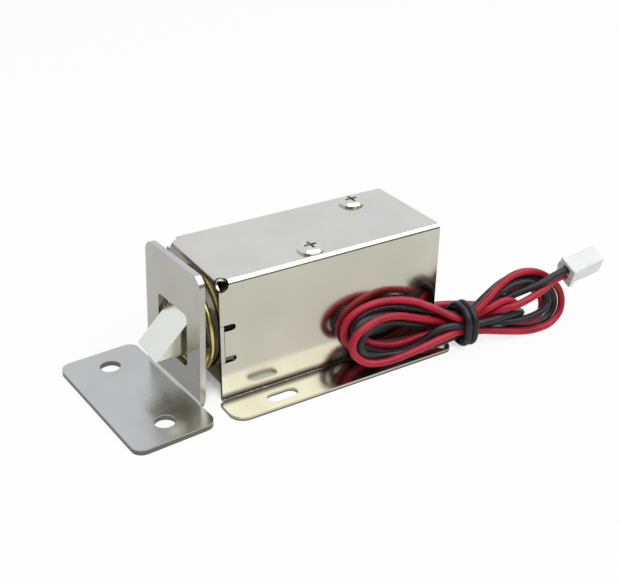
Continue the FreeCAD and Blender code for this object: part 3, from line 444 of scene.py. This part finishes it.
red_points = [
    (19.4, 9.8, 5.8), (24.7, 10.6, 5.8), (29.3, 10.4, 5.8), (34.3, 8.0, 6.0), (38.4, 5.2, 6.2),
    (42.8, 3.6, 6.5), (43.2, -0.3, 8.3), (39.8, -0.6, 10.6), (35.6, -0.4, 9.3), (32.9, 0.4, 7.1),
    (29.2, 0.7, 6.3), (26.4, 0.0, 5.9), (23.3, 1.1, 4.9), (18.8, 1.9, 4.5), (16.5, 1.9, 3.9),
    (12.9, 2.0, 3.7), (9.2, 2.2, 4.6), (6.7, 2.8, 5.7), (6.2, 3.5, 7.5), (7.3, 3.9, 9.4),
    (11.3, 4.1, 9.7), (17.9, 4.1, 7.3), (23.1, 3.3, 7.2), (26.6, 3.3, 7.0), (28.1, 2.4, 7.4),
    (32.8, 3.0, 7.9), (37.1, 3.1, 9.3), (41.2, 2.7, 10.8), (45.5, 2.3, 11.0), (48.7, 2.0, 9.9),
    (50.7, 1.4, 7.9), (50.8, 0.7, 5.5), (49.8, 0.0, 3.9), (47.6, -0.5, 3.1), (44.6, -0.3, 3.2),
    (39.0, 1.0, 4.0), (34.6, 1.8, 4.0), (30.4, 1.5, 3.8), (27.7, 2.2, 3.7), (21.3, 3.7, 1.9),
    (14.9, 4.1, 1.6), (9.2, 4.0, 2.1), (4.6, 3.6, 3.4), (2.3, 3.3, 6.1), (1.7, 3.4, 8.9),
    (2.6, 3.6, 11.3), (5.1, 3.7, 13.1), (8.8, 3.7, 14.0), (13.0, 3.4, 14.1), (18.4, 3.4, 12.7),
    (22.5, 2.5, 10.6), (25.7, 0.6, 8.9), (27.6, -0.3, 8.0), (30.1, -0.3, 7.3), (34.6, 0.3, 10.3),
    (38.9, 1.1, 13.7), (43.0, 1.6, 15.2), (46.8, 1.9, 14.9), (50.6, 2.2, 13.4), (53.8, 2.0, 10.9),
    (55.7, 1.3, 8.4), (56.1, 0.5, 5.8), (55.3, -0.2, 3.4), (52.8, -0.8, 1.5), (49.6, -1.1, 1.1),
    (45.6, -1.4, 1.3), (39.4, -1.6, 2.9), (32.1, -1.1, 4.6), (28.3, -1.0, 5.2), (25.7, -1.5, 5.4),
    (21.9, -2.0, 5.0), (16.9, -2.3, 4.0), (12.3, -2.4, 3.2), (8.5, -2.2, 2.7), (4.8, -1.9, 3.2),
    (2.4, -1.4, 5.1), (1.4, -1.3, 7.4), (2.0, -1.1, 9.7), (4.0, -0.9, 11.3), (7.5, -0.4, 12.4),
    (12.2, 0.2, 12.3), (18.3, 0.9, 9.7), (23.9, 1.6, 7.2), (30.1, 1.9, 5.1), (34.8, 1.3, 5.6),
    (38.0, -0.9, 8.5), (41.4, -2.4, 9.4), (46.1, -1.9, 10.5), (50.1, -0.8, 11.2), (52.4, 0.5, 11.9),
    (56.0, 0.7, 12.5),
]
black_points = [
    (19.4, 9.8, 4.1), (24.7, 10.6, 4.1), (29.3, 10.6, 4.1), (35.0, 7.6, 4.2), (40.0, 4.9, 4.2),
    (45.3, 4.2, 4.4), (45.6, 0.4, 5.2), (41.9, -0.8, 6.5), (36.1, -1.8, 6.8), (31.6, -1.2, 6.2),
    (28.8, -1.2, 6.5), (25.6, -0.9, 7.1), (22.6, -0.7, 6.9), (18.5, 0.6, 3.0), (15.0, 1.3, 2.0),
    (11.1, 1.4, 2.4), (7.0, 1.2, 4.2), (3.9, 1.0, 6.7), (3.1, 1.0, 9.5), (5.0, 1.5, 11.6),
    (10.8, 3.0, 11.2), (18.1, 4.8, 9.3), (24.8, 5.2, 5.8), (29.0, 3.1, 6.2), (30.8, 3.1, 6.1),
    (34.3, 1.4, 7.3), (37.2, 1.4, 9.6), (40.7, 1.3, 12.4), (45.1, 1.4, 12.9), (48.3, 1.3, 11.7),
    (50.6, 0.7, 10.0), (51.4, -0.2, 8.1), (50.8, -0.9, 6.4), (48.8, -1.3, 5.3), (44.3, -1.4, 4.6),
    (39.7, -1.0, 4.9), (33.3, -0.2, 5.6), (28.8, 0.7, 4.9), (25.5, 1.4, 4.1), (20.4, 3.1, 3.4),
    (14.7, 3.7, 3.2), (10.1, 3.9, 3.6), (6.4, 3.9, 4.6), (4.1, 3.7, 6.4), (3.7, 3.7, 8.9),
    (5.0, 3.9, 10.9), (8.1, 4.1, 12.2), (13.0, 3.6, 12.5), (19.4, 3.6, 10.3), (24.2, 3.1, 8.6),
    (26.7, 1.8, 8.4), (28.6, 1.0, 7.9), (32.3, 1.5, 8.3), (36.2, 2.1, 10.9), (40.4, 2.8, 13.1),
    (44.2, 3.0, 13.7), (48.0, 2.8, 12.9), (51.4, 2.4, 10.9), (53.8, 1.9, 8.4), (54.7, 1.4, 5.7),
    (54.0, 1.0, 3.4), (51.7, 0.7, 1.7), (47.1, 0.3, 1.3), (40.7, 0.2, 2.0), (33.6, 0.2, 3.5),
    (28.1, -0.2, 3.9), (26.0, -0.7, 3.9), (21.5, -1.2, 3.4), (16.4, -0.9, 2.9), (11.4, -0.5, 3.1),
    (6.9, -0.7, 3.8), (4.2, -0.9, 5.3), (3.4, -0.9, 7.6), (4.4, -0.6, 9.8), (7.9, -0.1, 10.9),
    (12.5, 1.0, 10.3), (18.6, 1.6, 7.8), (24.0, 2.4, 5.5), (30.1, 3.2, 4.3), (35.6, 2.9, 6.1),
    (39.8, 1.8, 9.0), (43.0, 0.7, 10.4), (47.0, -0.3, 12.0), (50.2, -0.7, 13.1), (52.2, -0.3, 13.7),
    (55.7, -0.1, 14.3),
]
wire_red = wire("wire_red", red_points, 1.65 * MM)
wire_red.data.materials.append(insulation(
    "red_insulation", (0.28, 0.004, 0.016), (0.42, 0.010, 0.032), (0.50, 0.028, 0.056)))
wire_black = wire("wire_black", black_points, 1.65 * MM)
wire_black.data.materials.append(insulation(
    "black_insulation", (0.010, 0.009, 0.010), (0.020, 0.018, 0.021), (0.050, 0.046, 0.052)))
for piece, length in ((wire_red, 0.359), (wire_black, 0.356)):
    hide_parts("lead_from_coil", "cable_hank", "lead_to_connector")


# The tie is a black plastic strand, wound twice round the hank's waist.
wear("cable_tie", insulation(
    "tie_strand", (0.006, 0.006, 0.007), (0.012, 0.012, 0.014), (0.035, 0.035, 0.038)))


# The connector's housing is moulded in white nylon and lets a little light in. Its two contacts
# are tin plated bronze.
white_nylon = moulded("white_nylon", (0.74, 0.745, 0.73), (0.81, 0.815, 0.805), 0.28, 0.42)
skin = white_nylon.node_tree.nodes["Principled BSDF"]
skin.inputs["Subsurface Weight"].default_value = 0.25
skin.inputs["Subsurface Radius"].default_value = (0.8, 0.8, 0.7)
skin.inputs["Subsurface Scale"].default_value = 1.0 * MM
wear("connector_housing", white_nylon)
tinned = plated(
    "tinned_bronze", shades((0.62, 0.60, 0.55), (0.74, 0.73, 0.70)), 0.25, 0.4, 0.01 * MM)
wear("contact_red", tinned)
wear("contact_black", tinned)


bpy.context.scene.view_settings.view_transform = "Standard"
bpy.context.view_layer.update()
